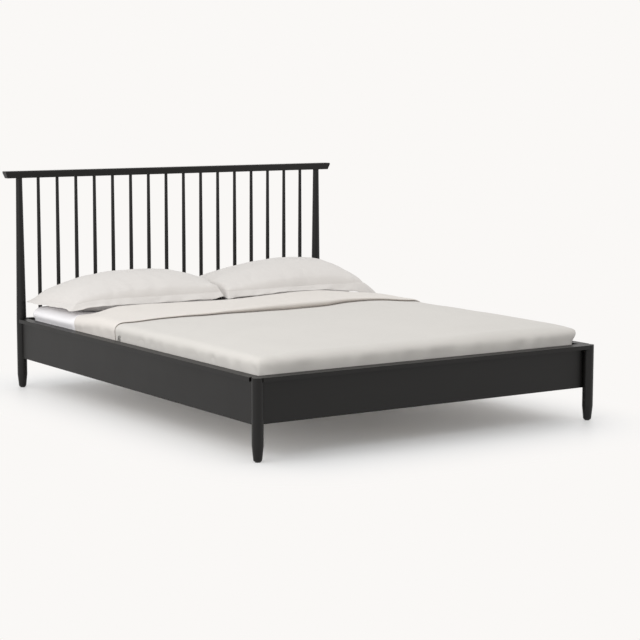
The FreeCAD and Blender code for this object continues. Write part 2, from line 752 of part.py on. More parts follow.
for item in doc.Objects:
    if "Invalid" in item.State or "Error" in item.State:
        raise RuntimeError("%s did not recompute: %s" % (item.Name, item.State))
for piece in pieces:
    if piece.Shape.isNull() or not piece.Shape.isValid():
        raise RuntimeError("%s has no valid shape" % piece.Label)

os.makedirs("parts", exist_ok=True)
for piece in pieces:
    piece.Shape.exportStep("parts/%s.step" % piece.Label)
    box = piece.Shape.BoundBox
    print("%-24s solids %2d volume %11.0f  x %8.1f %8.1f  y %8.1f %8.1f  z %7.1f %7.1f" % (
        piece.Label, len(piece.Shape.Solids), piece.Shape.Volume, box.XMin, box.XMax, box.YMin,
        box.YMax, box.ZMin, box.ZMax))
print("%d nodes" % len(pieces))
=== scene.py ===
"""A made-up spindle bed, dressed and lit. Metres: X across the bed, Y to the headboard, Z up."""
import collections
import math

import bmesh
import bpy
from mathutils import Matrix, Vector, noise


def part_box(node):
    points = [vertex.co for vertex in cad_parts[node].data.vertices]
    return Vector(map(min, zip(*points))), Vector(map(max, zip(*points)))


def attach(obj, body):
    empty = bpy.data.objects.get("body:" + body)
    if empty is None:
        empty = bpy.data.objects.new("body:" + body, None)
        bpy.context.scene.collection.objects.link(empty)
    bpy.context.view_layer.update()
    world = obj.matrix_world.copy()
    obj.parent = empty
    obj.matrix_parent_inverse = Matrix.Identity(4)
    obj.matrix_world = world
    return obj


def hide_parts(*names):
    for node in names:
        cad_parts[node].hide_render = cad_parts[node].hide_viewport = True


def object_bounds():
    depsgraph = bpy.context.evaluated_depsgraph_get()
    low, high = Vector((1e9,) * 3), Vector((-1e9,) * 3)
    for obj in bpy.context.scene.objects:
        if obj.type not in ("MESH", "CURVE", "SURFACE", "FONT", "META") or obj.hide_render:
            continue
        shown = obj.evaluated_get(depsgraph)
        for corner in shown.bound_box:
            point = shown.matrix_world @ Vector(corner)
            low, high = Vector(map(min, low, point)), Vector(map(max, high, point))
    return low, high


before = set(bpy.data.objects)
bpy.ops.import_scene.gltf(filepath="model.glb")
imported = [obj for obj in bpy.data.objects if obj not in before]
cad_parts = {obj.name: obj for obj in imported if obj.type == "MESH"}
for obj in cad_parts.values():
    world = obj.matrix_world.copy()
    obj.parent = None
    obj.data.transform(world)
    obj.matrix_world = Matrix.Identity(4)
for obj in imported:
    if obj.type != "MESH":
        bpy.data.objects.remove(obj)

CAD_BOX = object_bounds()
MM = 0.001

# ---------------------------------------------------------------- camera

CAMERA_PLACE = Vector((-4.5574, -7.0926, 1.4509))
CAMERA_AZIMUTH = math.radians(-33.606)
CAMERA_ELEVATION = math.radians(7.262)
CAMERA_ROLL = math.radians(0.119)
CAMERA_LENS = 106.303
SENSOR = 36.0


def add_camera():
    """The photograph's viewpoint, recovered from the frame's straight edges."""
    back = Vector((math.sin(CAMERA_AZIMUTH) * math.cos(CAMERA_ELEVATION),
                   -math.cos(CAMERA_AZIMUTH) * math.cos(CAMERA_ELEVATION),
                   math.sin(CAMERA_ELEVATION)))
    level = back.cross(Vector((0, 0, -1))).normalized()
    upright = level.cross(-back)
    cosine = math.cos(CAMERA_ROLL)
    sine = math.sin(CAMERA_ROLL)
    right = cosine * level + sine * upright
    up = -sine * level + cosine * upright
    data = bpy.data.cameras.new("camera")
    data.lens = CAMERA_LENS
    data.sensor_width = SENSOR
    data.sensor_fit = "HORIZONTAL"
    data.clip_end = 100
    camera = bpy.data.objects.new("camera", data)
    bpy.context.scene.collection.objects.link(camera)
    turn = Matrix((right, up, back)).transposed().to_4x4()
    camera.matrix_world = Matrix.Translation(CAMERA_PLACE) @ turn
    bpy.context.scene.camera = camera


# ------------------------------------------------------------- materials

BLACK = (0.0036, 0.0032, 0.0029)
QUILT_WHITE = (0.645, 0.625, 0.596)
REVERSE_WHITE = (0.725, 0.690, 0.655)
PILLOW_WHITE = (0.694, 0.670, 0.650)
SHEET_WHITE = (0.930, 0.920, 0.945)
SLAT_TONES = ((0.62, 0.56, 0.47), (0.48, 0.42, 0.34))
BASE_TONES = ((0.58, 0.48, 0.36), (0.44, 0.34, 0.23))
STEEL_TONES = ((0.42, 0.42, 0.43), (0.55, 0.55, 0.56))
PLASTIC_TONES = ((0.02, 0.02, 0.02), (0.035, 0.035, 0.035))
EASED_EDGE = 1.5 * MM
GLOSS = 0.31
# The side boards reflect less than the same lacquer elsewhere: painted shade that darkens them.
SHADED_SIDE_GLOSS = 0.25


class Shader:
    """A small helper that builds a node material from the shader upwards."""

    def __init__(self, name):
        self.material = bpy.data.materials.new(name)
        self.material.use_nodes = True
        self.nodes = self.material.node_tree.nodes
        self.links = self.material.node_tree.links
        self.surface = self.nodes["Principled BSDF"]
        self.place = self.add("ShaderNodeTexCoord").outputs["Object"]

    def add(self, kind, **settings):
        node = self.nodes.new(kind)
        for key, value in settings.items():
            setattr(node, key, value)
        return node

    def link(self, start, end):
        self.links.new(start, end)

    def set(self, **values):
        for key, value in values.items():
            self.surface.inputs[key.replace("_", " ")].default_value = value

    def mapped(self, scale):
        node = self.add("ShaderNodeMapping")
        node.inputs["Scale"].default_value = scale
        self.link(self.place, node.inputs["Vector"])
        return node.outputs["Vector"]

    def noise(self, scale, detail=2.0, roughness=0.5, vector=None):
        node = self.add("ShaderNodeTexNoise")
        node.inputs["Scale"].default_value = scale
        node.inputs["Detail"].default_value = detail
        node.inputs["Roughness"].default_value = roughness
        self.link(vector or self.place, node.inputs["Vector"])
        return node.outputs["Fac"]

    def wave(self, scale, direction):
        node = self.add("ShaderNodeTexWave", bands_direction=direction)
        node.inputs["Scale"].default_value = scale
        self.link(self.place, node.inputs["Vector"])
        return node.outputs["Fac"]

    def ramp(self, factor, low, high, start=0.3, end=0.7):
        node = self.add("ShaderNodeValToRGB")
        node.color_ramp.elements[0].position = start
        node.color_ramp.elements[0].color = (*low, 1)
        node.color_ramp.elements[1].position = end
        node.color_ramp.elements[1].color = (*high, 1)
        self.link(factor, node.inputs["Fac"])
        return node.outputs["Color"]

    def remap(self, factor, low, high):
        node = self.add("ShaderNodeMapRange")
        node.inputs["To Min"].default_value = low
        node.inputs["To Max"].default_value = high
        self.link(factor, node.inputs["Value"])
        return node.outputs["Result"]

    def product(self, first, second):
        node = self.add("ShaderNodeMath", operation="MULTIPLY")
        self.link(first, node.inputs[0])
        self.link(second, node.inputs[1])
        return node.outputs[0]

    def bump(self, height, strength, distance, normal=None):
        node = self.add("ShaderNodeBump")
        node.inputs["Strength"].default_value = strength
        node.inputs["Distance"].default_value = distance
        self.link(height, node.inputs["Height"])
        if normal:
            self.link(normal, node.inputs["Normal"])
        return node.outputs["Normal"]


def shade(colour, factor):
    return tuple(channel * factor for channel in colour)


def stretched(along, low, high):
    """A texture scale that is low along one axis and high across it."""
    return tuple(low if axis == along else high for axis in "XYZ")


def lacquered_wood(name, along, gloss):
    """Satin black lacquer: grain just shows through, and edges are softly eased."""
    shader = Shader(name)
    coat = shader.mapped(stretched(along, low=2, high=60))
    grain = shader.noise(1.0, detail=6.0, roughness=0.65, vector=coat)
    cloud = shader.noise(5.0)
    blend = shader.product(grain, cloud)
    tone = shader.ramp(blend, shade(BLACK, 0.85), shade(BLACK, 1.2), start=0.15, end=0.45)
    shader.link(tone, shader.surface.inputs["Base Color"])
    shader.link(shader.remap(cloud, low=0.36, high=0.46), shader.surface.inputs["Roughness"])
    eased = shader.add("ShaderNodeBevel", samples=4)
    eased.inputs["Radius"].default_value = EASED_EDGE
    relief = shader.bump(grain, strength=0.06, distance=0.3 * MM, normal=eased.outputs["Normal"])
    shader.link(relief, shader.surface.inputs["Normal"])
    shader.set(IOR=1.5, Specular_IOR_Level=gloss)
    return shader.material


def plain_wood(name, along, light, dark):
    """Planed, unfinished softwood with long grain."""
    shader = Shader(name)
    board = shader.mapped(stretched(along, low=1.2, high=22))
    grain = shader.noise(1.0, detail=8.0, roughness=0.6, vector=board)
    shader.link(shader.ramp(grain, dark, light, end=0.65), shader.surface.inputs["Base Color"])
    relief = shader.bump(grain, strength=0.2, distance=0.5 * MM)
    shader.link(relief, shader.surface.inputs["Normal"])
    shader.set(Roughness=0.62)
    return shader.material


def plated_steel(name):
    shader = Shader(name)
    brushed = shader.mapped(stretched("Z", low=12, high=300))
    streak = shader.noise(1.0, detail=3.0, vector=brushed)
    shader.link(shader.remap(streak, low=0.28, high=0.44), shader.surface.inputs["Roughness"])
    shader.link(shader.ramp(streak, *STEEL_TONES), shader.surface.inputs["Base Color"])
    shader.set(Metallic=1.0)
    return shader.material


def matt_plastic(name):
    shader = Shader(name)
    speck = shader.noise(400.0)
    shader.link(shader.ramp(speck, *PLASTIC_TONES), shader.surface.inputs["Base Color"])
    relief = shader.bump(speck, strength=0.2, distance=0.2 * MM)
    shader.link(relief, shader.surface.inputs["Normal"])
    shader.set(Roughness=0.6)
    return shader.material


def woven(name, colour, thread, crease):
    """Matt woven cotton: two crossed thread waves, faint creases and a soft sheen."""
    shader = Shader(name)
    threads = 1 / thread
    weave = shader.product(shader.wave(threads, "X"), shader.wave(threads, "Y"))
    cloud = shader.noise(3.5, detail=4.0)
    shader.link(shader.ramp(cloud, shade(colour, 0.985), shade(colour, 1.01)),
                shader.surface.inputs["Base Color"])
    rumple = shader.noise(14.0, detail=5.0, roughness=0.55)
    soft = shader.bump(rumple, strength=crease, distance=6 * MM)
    cloth = shader.bump(weave, strength=0.15, distance=0.15 * MM, normal=soft)
    shader.link(cloth, shader.surface.inputs["Normal"])
    shader.set(Roughness=0.92, Sheen_Weight=0.12, Sheen_Roughness=0.5,
               Specular_IOR_Level=0.25)
    return shader.material


def dress_frame():
    """Each carried-over node gets a finish whose grain runs along the board. The side boards get a
    copy of the same lacquer that reflects less, as painted shade.
    """
    board_x = lacquered_wood("lacquer_across", "X", GLOSS)
    # the same lacquer with its reflection turned down for the side boards, as painted shade
    shaded_board_y = lacquered_wood("lacquer_along_shaded", "Y", SHADED_SIDE_GLOSS)
    upright = lacquered_wood("lacquer_upright", "Z", GLOSS)
    slat = plain_wood("slat_wood", "X", *SLAT_TONES)
    base = plain_wood("base_wood", "Y", *BASE_TONES)
    steel = plated_steel("plated_steel")
    plastic = matt_plastic("glide_plastic")
    finishes = {
        "crest_rail": board_x, "headboard_lower_rail": board_x, "foot_panel": board_x,
        "foot_cap": board_x, "side_": shaded_board_y, "foot_post_": upright,
        "headboard_post_": upright, "spindle_": upright, "centre_leg_": upright,
        "slat_ledger_": base, "centre_beam": base, "joint_dowels": base, "slat_": slat,
        "corner_brackets": steel, "beam_angles": steel, "corner_screws": steel,
        "beam_screws": steel, "ledger_screws": steel, "floor_glides": plastic,
    }
    for name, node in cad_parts.items():
        for start, finish in finishes.items():
            if name.startswith(start):
                node.data.materials.clear()
                node.data.materials.append(finish)
                break


# ------------------------------------------------------------ mesh tools
#
# A pair with a name that ends in RAMP is where a change begins and where it is complete.

SEED_STEP = 7.31


def corners_of(node):
    """A node's lowest and highest corners at rest."""
    low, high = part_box(node)
    return Vector(low), Vector(high)


def mesh_piece(name, points, faces, material, body):
    """A smooth mesh piece, once subdivided, that rides on a body."""
    mesh = bpy.data.meshes.new(name)
    mesh.from_pydata([tuple(point) for point in points], [], faces)
    edit = bmesh.new()
    edit.from_mesh(mesh)
    bmesh.ops.recalc_face_normals(edit, faces=edit.faces)
    edit.to_mesh(mesh)
    edit.free()
    for polygon in mesh.polygons:
        polygon.use_smooth = True
    piece = bpy.data.objects.new(name, mesh)
    bpy.context.scene.collection.objects.link(piece)
    mesh.materials.append(material)
    smooth = piece.modifiers.new("smooth", "SUBSURF")
    smooth.levels = 1
    smooth.render_levels = 1
    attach(piece, body)
    return piece


def grid_faces(rows, columns):
    faces = []
    for row in range(rows - 1):
        for column in range(columns - 1):
            corner = row * columns + column
            faces.append((corner, corner + 1, corner + columns + 1, corner + columns))
    return faces


def steps(low, high, size):
    count = max(2, round((high - low) / size))
    return [low + (high - low) * index / count for index in range(count + 1)]


def ease(value, low, high):
    """Smoothly from 0 at low to 1 at high."""
    share = min(1.0, max(0.0, (value - low) / (high - low)))
    return share * share * (3 - 2 * share)


def ripple(x, y, length, seed):
    """Smooth noise from -1 to 1 with about that wavelength."""
    return noise.noise(Vector((x / length, y / length, seed * SEED_STEP)))


def waves(x, y, form):
    """Smooth noise whose form is its height, its wavelength and its seed."""
    height, length, seed = form
    return height * ripple(x, y, length, seed)


def hump(place, form):
    """A smooth hump whose form is its height, where its middle lies and its half width."""
    height, middle, width = form
    return height * math.exp(-((place - middle) / width) ** 2)


# --------------------------------------------------------------- mattress

MATTRESS_INSET = 1 * MM
MATTRESS_CORNER = 30 * MM
MATTRESS_EDGE = 40 * MM
MATTRESS_STEP = 14 * MM
SIDE_DEPTH = 20 * MM
SIDE_BULGE = 14 * MM
BULGE_RAMP = (0.33, 0.35)
BULGE_TOP = 0.36
BULGE_LEAD = 30 * MM
UNDERSIDE = 30 * MM
SHEET_PULL = (1.6 * MM, 0.16, 3)
SHEET_CREASE = (0.8 * MM, 0.05, 4)
SHEET_SINK = 0.8 * MM


def rounded(out):
    """Moves a vector from a square about its start onto the circle inside that square."""
    return out.normalized() * max(abs(part) for part in out)


def rounded_solid(low, high, corner, edge, step):
    """Points and faces of a box with round upright corners and softened top and bottom."""
    size = high - low
    points = []
    faces = []
    lookup = {}

    def settled(point):
        core = Vector((min(max(point.x, low.x + corner), high.x - corner),
                       min(max(point.y, low.y + corner), high.y - corner), 0))
        out = rounded(Vector((point.x - core.x, point.y - core.y, 0)))
        depth = corner - out.length
        height = min(point.z - low.z, high.z - point.z)
        level = point.z
        if height < edge and depth < edge:
            bevel = rounded(Vector((edge - depth, edge - height)))
            depth = edge - bevel.x
            upper = point.z - low.z > high.z - point.z
            level = high.z - edge + bevel.y if upper else low.z + edge - bevel.y
        out = out.normalized() * (corner - depth)
        return Vector((core.x + out.x, core.y + out.y, level))

    def vertex(point):
        key = (round(point.x, 6), round(point.y, 6), round(point.z, 6))
        if key not in lookup:
            lookup[key] = len(points)
            points.append(settled(point))
        return lookup[key]

    spans = [steps(0, size[axis], step) for axis in range(3)]
    for axis in range(3):
        first, second = [other for other in range(3) if other != axis]
        for side in (0, size[axis]):
            for index_a in range(len(spans[first]) - 1):
                for index_b in range(len(spans[second]) - 1):
                    corners = []
                    for add_a, add_b in ((0, 0), (1, 0), (1, 1), (0, 1)):
                        place = low.copy()
                        place[axis] += side
                        place[first] += spans[first][index_a + add_a]
                        place[second] += spans[second][index_b + add_b]
                        corners.append(vertex(place))
                    faces.append(tuple(corners))
    return points, faces


def add_mattress(cloth):
    """The mattress under its fitted white sheet, a little soft at its edges."""
    low, high = corners_of("mattress")
    low += Vector((MATTRESS_INSET, MATTRESS_INSET, 0))
    high -= Vector((MATTRESS_INSET, MATTRESS_INSET, 0))
    points, faces = rounded_solid(low, high, MATTRESS_CORNER, MATTRESS_EDGE, MATTRESS_STEP)
    covered = corners_of("duvet")[1].y
    for point in points:
        above = ease(point.z, *BULGE_RAMP) * (1 - ease(point.z, BULGE_TOP, high.z))
        past = ease(point.y, covered, covered + BULGE_LEAD)
        if abs(point.x) > high.x - SIDE_DEPTH:
            point.x += math.copysign(SIDE_BULGE, point.x) * above * past
        if point.z > low.z + UNDERSIDE:
            pull = waves(point.x, point.y, SHEET_PULL)
            pull += waves(point.x + point.z, point.y - point.z, SHEET_CREASE)
            point.z += pull - SHEET_SINK
    piece = mesh_piece("fitted_mattress", points, faces, cloth, "mattress")
    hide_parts("mattress")


# ------------------------------------------------------------------ duvet
#
# Across and along the cloth, a ramp is in metres. On the part that hangs it is a share of it.

DUVET_TOP = 410 * MM
SHOULDER = 46 * MM
SHOULDER_SQUARE = 0.25
SKIRT_STEP = 9 * MM
TOP_STEP = 16 * MM

# the lining, close round the mattress
LINING_SHOULDER = 26 * MM
LINING_GAP = 0.5 * MM
LINING_CLEAR = 0.6 * MM

# the turned-back band and its hem: how far ahead of the hem each row lies, and its layer
BAND_WIDTH = 436 * MM
BAND_RISE = 9 * MM
BAND_LOSS = 0.8
BAND_LOSS_RAMP = (0.05, 0.6)
HEM_ROWS = ((28, -0.3), (18, -0.12), (7, 0.12), (-3, 0.42), (-6, 0.72), (-2, 0.95), (8, 1.08),
            (20, 1.06), (34, 1.0))
BEFORE_HEM = 12 * MM
AFTER_HEM = 48 * MM
HEM_SWEEP = 46 * MM
HEM_SWEEP_RAMP = (0.70, 0.86)
HEM_SWERVE = (40 * MM, 0.46, 0.16)
SWEEP_REACH = 0.25
GAPE = (19 * MM, 0.12, 0.40)
GAPE_REACH = 0.12

# the fold at the head
FOLD_DEPTH = 22 * MM
FOLD_REACH = 21 * MM
FOLD_TURNS = 7
FOLD_LOFT = 6 * MM
LOFT_START = 0.1
LOFT_END = 0.06
HEAD_HUMPS = ((5 * MM, -0.42, 0.2), (9 * MM, 0.33, 0.24))
HEAD_HUMP_START = 0.2
HEAD_START = 0.16
HEAD_FALL = 5 * MM
LEFT_FALL = 18 * MM
LEFT_FALL_RAMP = (0.57, 0.74)
LEFT_FADE_RAMP = (0.3, 0.9)
RIGHT_FALL = 8 * MM
RIGHT_FALL_RAMP = (0.5, 0.68)

# the lie of the top
FLAT_RAMP = (0.0, 0.4)
CROWN = (6 * MM, 0.5, 0.25)
SIDE_FALL = 9 * MM
SIDE_FALL_RAMP = (0.60, 0.775)
FOOT_FALL = 5 * MM
FOOT_FALL_RAMP = (0.80, 0.98)

# swells on the top, then rumples, puckers and corner gathers on the part that hangs
BROAD = (3.2 * MM, 0.40, 1)
MIDDLE = (2.0 * MM, 0.15, 2)
MIDDLE_SQUEEZE = 1.3
TURN_RAMP = (0.1, 0.45)
TURN_LOSS = 0.6
RUMPLE = (3.2 * MM, 0.13, 5)
PUCKER = (8 * MM, 0.05, 6)
PUCKER_RAMP = (0.35, 0.7)
GATHER = (8 * MM, 0.05, 8)
GATHER_REACH = 80 * MM

# how the hanging part stays inside the caps
OUTSIDE_GAP = 0.5 * MM
TUCK = 6 * MM
TUCK_RAMP = (0.4, 0.75)
HUNG = 0.3
HUNG_SLACK = 0.4 * MM
BILLOW = 14 * MM
BILLOW_DEPTHS = (60 * MM, 30 * MM)
BILLOW_END_RAMP = (0.385, 0.412)


def squared(heading, amount):
    """Pushes a heading outwards near a corner, from a round corner to a square one."""
    return heading / max(abs(heading.x), abs(heading.y)) ** amount


def drape(across, along, half, foot, radius, top):
    """A point and normal of a cloth that lies flat and turns down over three edges.

    across and along are distances over the cloth from the middle of the bed.
    """
    over_x = max(0.0, abs(across) - half)
    over_y = max(0.0, foot - along)
    side = 1 if across > 0 else -1
    x = side * min(abs(across), half)
    y = max(along, foot)
    over = max(over_x, over_y)
    if over <= 0:
        return Vector((x, y, top)), Vector((0, 0, 1))
    heading = Vector((side * over_x, -over_y, 0)).normalized()
    angle = min(over / radius, math.pi / 2)
    drop = radius * (1 - math.cos(angle)) + max(0.0, over - radius * math.pi / 2)
    out = squared(heading, SHOULDER_SQUARE) * radius * math.sin(angle)
    normal = heading * math.sin(angle) + Vector((0, 0, math.cos(angle)))
    return Vector((x, y, top - drop)) + out, normal


class Quilt:
    """Where the duvet's cloth lies. Its layer is 0 on the quilt and 1 on the turned-back band."""

    def __init__(self):
        low, high = corners_of("duvet")
        bed_low, bed_high = corners_of("mattress")
        self.head = high.y
        self.hem = high.y - BAND_WIDTH
        self.half = high.x - SHOULDER
        self.foot = low.y + SHOULDER
        self.run = SHOULDER * math.pi / 2 + DUVET_TOP - SHOULDER - low.z
        self.bed_top = bed_high.z
        self.lining_half = bed_high.x + LINING_GAP - LINING_SHOULDER
        self.lining_foot = bed_low.y - LINING_GAP + LINING_SHOULDER
        self.lining_top = bed_high.z + LINING_CLEAR
        self.lining_run = LINING_SHOULDER * math.pi / 2 + self.lining_top - LINING_SHOULDER - low.z

    def columns(self):
        """Distances across the quilt, with finer steps where it hangs."""
        skirt = steps(0, self.run, SKIRT_STEP)[1:]
        places = [-self.half - over for over in reversed(skirt)]
        places += steps(-self.half, self.half, TOP_STEP)
        return places + [self.half + over for over in skirt]

    def rows(self):
        """Distances along the quilt, each with its layer."""
        skirt = steps(0, self.run, SKIRT_STEP)[1:]
        places = [(self.foot - over, 0.0) for over in reversed(skirt)]
        places += [(y, 0.0) for y in steps(self.foot, self.hem - BEFORE_HEM, TOP_STEP)]
        places += [(self.hem + ahead * MM, layer) for ahead, layer in HEM_ROWS]
        band = steps(self.hem + AFTER_HEM, self.head - FOLD_DEPTH, TOP_STEP)
        return places + [(y, 1.0) for y in band]

    def sweep(self, across, along):
        """How far the hem wanders to the head, and the cloth near it with it."""
        shift = HEM_SWEEP * ease(-across, *HEM_SWEEP_RAMP) + hump(across, HEM_SWERVE)
        return shift * ease(SWEEP_REACH - abs(along - self.hem), 0, SWEEP_REACH)

    def rise(self, x, along, layer, share):
        """How far the turned-back band stands above the quilt that it covers."""
        fold = FOLD_LOFT * ease(along, self.hem + LOFT_START, self.head - LOFT_END)
        fuller = sum(hump(x, form) for form in HEAD_HUMPS)
        fold += fuller * ease(along, self.hem + HEAD_HUMP_START, self.head)
        gape = hump(x, GAPE) * (1 - ease(along, self.hem, self.hem + GAPE_REACH))
        return (BAND_RISE + fold + gape) * layer * (1 - BAND_LOSS * ease(share, *BAND_LOSS_RAMP))

    def lie(self, x, across, along, layer, share):
        """How far the cloth is raised above the plain form of its top."""
        flat = 1 - ease(share, *FLAT_RAMP)
        level = hump(x, CROWN) - SIDE_FALL * ease(abs(across), *SIDE_FALL_RAMP)
        level -= FOOT_FALL * ease(-along, *FOOT_FALL_RAMP)
        head = ease(along, self.hem + HEAD_START, self.head) * layer
        fall = HEAD_FALL + RIGHT_FALL * ease(x, *RIGHT_FALL_RAMP) * flat
        fall += LEFT_FALL * ease(-x, *LEFT_FALL_RAMP) * (1 - ease(share, *LEFT_FADE_RAMP))
        return level * flat - head * fall

    def relief(self, point, across, along, share):
        """The swells of the top, and the folds of the part that hangs."""
        turned = ease(share, *TURN_RAMP)
        top = waves(point.x, point.y, BROAD) + waves(point.x * MIDDLE_SQUEEZE, point.y, MIDDLE)
        hung = turned * waves(point.x, point.y, RUMPLE)
        hung += ease(share, *PUCKER_RAMP) * waves(point.x, point.y, PUCKER)
        corner = ease(abs(across), self.half - GATHER_REACH, self.half)
        corner *= ease(self.foot + GATHER_REACH - along, 0, GATHER_REACH)
        hung += corner * waves(point.x, point.y - point.z, GATHER)
        return top * (1 - TURN_LOSS * turned) + hung

    def outer(self, across, along, layer):
        """A point of the cloth's upper side."""
        place = along + self.sweep(across, along)
        point, normal = drape(across, place, self.half, self.foot, SHOULDER, DUVET_TOP)
        share = max(0.0, abs(across) - self.half, self.foot - along) / self.run
        rise = self.rise(point.x, along, layer, share)
        inset = OUTSIDE_GAP + TUCK * ease(share, *TUCK_RAMP)
        offset = rise + self.relief(point, across, along, share) - inset
        if share > HUNG:
            offset = min(offset, rise + HUNG_SLACK)
        result = point + normal * offset
        result.z += self.lie(point.x, across, along, layer, share)
        if across > self.half:
            start, end = BILLOW_DEPTHS
            clear = ease(result.z, self.bed_top - start, self.bed_top - end)
            result.x += BILLOW * clear * (1 - ease(result.z, *BILLOW_END_RAMP))
        return result

    def lining(self, across, along):
        """A point of the cloth's under side, close round the mattress."""
        shrink = self.lining_run / self.run
        x = across * self.lining_half / self.half
        if abs(across) > self.half:
            x = math.copysign(self.lining_half + (abs(across) - self.half) * shrink, across)
        scale = (self.head - self.lining_foot) / (self.head - self.foot)
        y = self.head - (self.head - along) * scale
        if along < self.foot:
            y = self.lining_foot - (self.foot - along) * shrink
        return drape(x, y, self.lining_half, self.lining_foot, LINING_SHOULDER,
                     self.lining_top)[0]


def head_fold(over, under):
    """Lines of points round the fold that joins the cloth's two sides at the head."""
    lines = []
    for index in range(1, FOLD_TURNS):
        angle = math.pi * index / FOLD_TURNS
        line = [upper.lerp(lower, (1 - math.cos(angle)) / 2) for upper, lower in zip(over, under)]
        for point in line:
            point.y += FOLD_REACH * math.sin(angle)
        lines.append(line)
    return lines


def closed_faces(count, width):
    """Faces of a band of lines that runs over a solid and back under it, closed all round."""
    faces = grid_faces(count, width)
    last = count - 1
    for row in range(last // 2):
        mirror = last - row
        for column in (0, width - 1):
            faces.append((row * width + column, (row + 1) * width + column,
                          (mirror - 1) * width + column, mirror * width + column))
    for column in range(width - 1):
        faces.append((column, column + 1, last * width + column + 1, last * width + column))
    return faces


def add_duvet(cloth, reverse):
    """A quilt tucked inside the caps. Its head end is turned back, lighter side up."""
    quilt = Quilt()
    columns = quilt.columns()
    rows = quilt.rows()
    over = [[quilt.outer(across, along, layer) for across in columns] for along, layer in rows]
    under = [[quilt.lining(across, along) for across in columns] for along, layer in rows]
    lines = over + head_fold(over[-1], under[-1]) + under[::-1]
    points = [point for line in lines for point in line]
    width = len(columns)
    piece = mesh_piece("quilted_duvet", points, closed_faces(len(lines), width), cloth,
                       "duvet")
    piece.data.materials.append(reverse)
    first = sum(1 for along, layer in rows if layer == 0) - 1
    for polygon in piece.data.polygons:
        row = min(polygon.vertices) // width
        polygon.material_index = int(first <= row < len(over) + FOLD_TURNS)
    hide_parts("duvet")


# ---------------------------------------------------------------- pillows
#
# On a pillow, u runs from -1 beside the other pillow to 1 at the bed's side, and v from -1 at
# the front to 1 at the headboard. The ramps here are in u or in v.

CASE_SIZE = (0.800, 0.480)
CASE_CELL = 11 * MM
CASE_LOFT = 9 * MM
CASE_WAVES = (5 * MM, 0.09)
CASE_FRAMES = 30
WRINKLE_PASSES = 9
WRINKLE_SHARE = 0.35

# the flat border round the case: how far each side of it reaches past the seam
FRONT_BORDER = 20 * MM
BACK_BORDER = 24 * MM
OUTER_BORDER = 36 * MM
INNER_BORDER = 8 * MM
BORDER_STEPS = 6
BORDER_THICKNESS = 3 * MM
SIDE_RAMP = (0.93, 1.0)
END_RAMP = (0.88, 1.0)
EAR_SIDE_RAMP = (0.84, 1.0)
EAR_FRONT_RAMP = (0.7, 1.0)
BORDER_WAVE = 8 * MM
WAVE_LENGTH = 0.045
SWAY_LENGTH = 0.12
SWAY_SEED = 9
WAVE_LIFT = 0.5
HANG_POWER = 0.7
EAR_HANG = 0.1
GROOVE = 2.2 * MM
GROOVE_PLACE = 0.35

# the border's free edge
EDGE_LEVEL = 15 * MM
EDGE_WAVES = (3 * MM, 0.09)
EDGE_SEED = 5
EDGE_RAMP = (0.8, 1.0)
INNER_RAMP = (0.86, 1.0)
FRONT_EDGE = 15 * MM
OUTER_EDGE = 7 * MM
OUTER_CORNER = 10 * MM
OUTER_CORNER_RAMP = (0.9, 1.0)
INNER_EDGE = 26 * MM
INNER_CORNER = 12 * MM
BESIDE_BAND = (9 * MM, 0.42, 0.16)
EAR_FALL = 0.3
EAR_FALL_RAMPS = ((0.4, 0.9), (0.9, 1.0))

# the sewn edge
FRONT_GAP = 6 * MM
BACK_GAP = 2 * MM
INNER_GAP = 10 * MM
SEAM_HEIGHT = 58 * MM
SEAM_WANDER = 4 * MM
SEAM_WAVES = (2.4, 1.5)
SEAM_SEED_STEP = 1.7
SEAM_SLOPE = 4 * MM
SEAM_FALL = 14 * MM
SEAM_FALL_POWER = 6
EAR_LIFT = 0.3
EAR_LIFT_RAMPS = ((0.7, 1.0), (0.3, 1.0))
SIDE_PULL = 0.012
FRONT_PULL = 0.035
BLUNT = 10 * MM
BLUNT_POWER = 7

# the filling
RIDGE_PLACE = 0.18
RIDGE_POWER = 2.2
RIDGE_ROOT = 0.55
INNER_END_POWER = 22
FULL_RISE = 5
FULL_SINK = 2.4
SHEET_GAP = 0.8 * MM
EDGE_THICKNESS = 3 * MM

# gathers run in from the seam, drags run along it, and dents lie anywhere
GATHER_HEIGHT = 4.6 * MM
GATHER_SPACING = 34 * MM
GATHER_LENGTH = 0.16
GATHER_FADE = 60 * MM
SIDE_GATHER_FADE = 70 * MM
DRAG_HEIGHT = 3.6 * MM
DRAG_SPACING = 35 * MM
DRAG_LENGTH = 0.20
DRAG_FADE = 0.11
DRAG_SEED = 0.5
DENT_HEIGHT = 5 * MM
DENT_LENGTH = 0.19
FINE_DENT = 0.4
FINE_DENT_LENGTH = 0.08
FINE_DENT_SEED = 3
INNER_CREASING = 4.2
INNER_CREASING_RAMP = (0.66, 0.97)
OUTER_CREASING = 1.2
OUTER_CREASING_RAMP = (0.7, 1.0)

# what differs between the pillows, which are pushed together
Pillow = collections.namedtuple(
    "Pillow", "side seed ridge peak outer_power outer_root inner_drop inner_power inset ear curl")
PILLOWS = (
    Pillow(side="left", seed=11, ridge=549 * MM, peak=0.0, outer_power=2.4, outer_root=0.75,
           inner_drop=0.46, inner_power=3.6, inset=36 * MM, ear=0 * MM, curl=22 * MM),
    Pillow(side="right", seed=12, ridge=567 * MM, peak=0.3, outer_power=2.9, outer_root=0.52,
           inner_drop=0.69, inner_power=1.77, inset=24 * MM, ear=40 * MM, curl=6 * MM),
)


def case_grid():
    """Places across and along a flat pillowcase, and its closed edge as index pairs."""
    width, depth = CASE_SIZE
    columns = steps(-width / 2, width / 2, CASE_CELL)
    rows = steps(-depth / 2, depth / 2, CASE_CELL)
    last_i = len(columns) - 1
    last_j = len(rows) - 1
    rim = [(i, 0) for i in range(last_i)] + [(last_i, j) for j in range(last_j)]
    rim += [(i, last_j) for i in range(last_i, 0, -1)] + [(0, j) for j in range(last_j, 0, -1)]
    return columns, rows, rim


